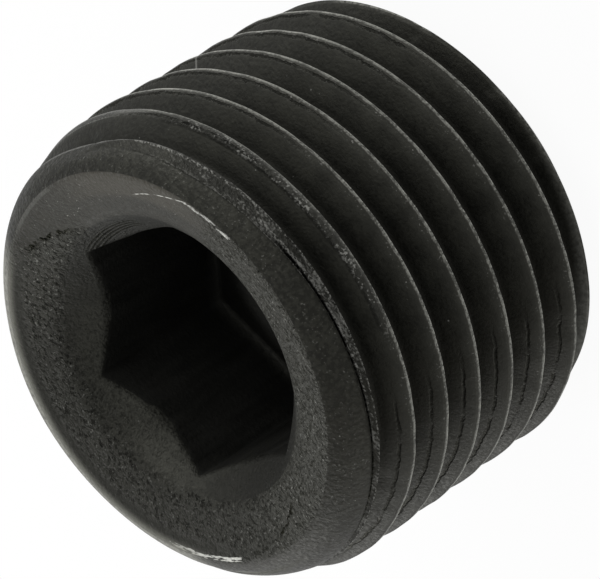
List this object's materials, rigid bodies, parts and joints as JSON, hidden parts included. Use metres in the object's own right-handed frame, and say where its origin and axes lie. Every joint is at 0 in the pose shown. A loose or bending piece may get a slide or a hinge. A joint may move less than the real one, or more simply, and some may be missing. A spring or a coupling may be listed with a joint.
{
  "type": "hexagon socket screw plug",
  "caption": "Headless screw plug with a tapered fine outside thread, a rounded shoulder, a dished face and a hexagon socket; it screws in flush to close an oil gallery or tapped port.",
  "frame": {"origin": "centre of the plain end's flat face, on the thread axis", "axes": "+Z along the thread axis from the plain end to the socket end, +X towards a corner of the hexagon socket"},
  "size_m": [0.0102, 0.0102, 0.008],
  "materials": {
    "black_steel": "black oxide, matte, worn to bare grey along the thread crests and the rim"
  },
  "bodies": {
    "root": {"plug": "black_steel"}
  },
  "joints": []
}
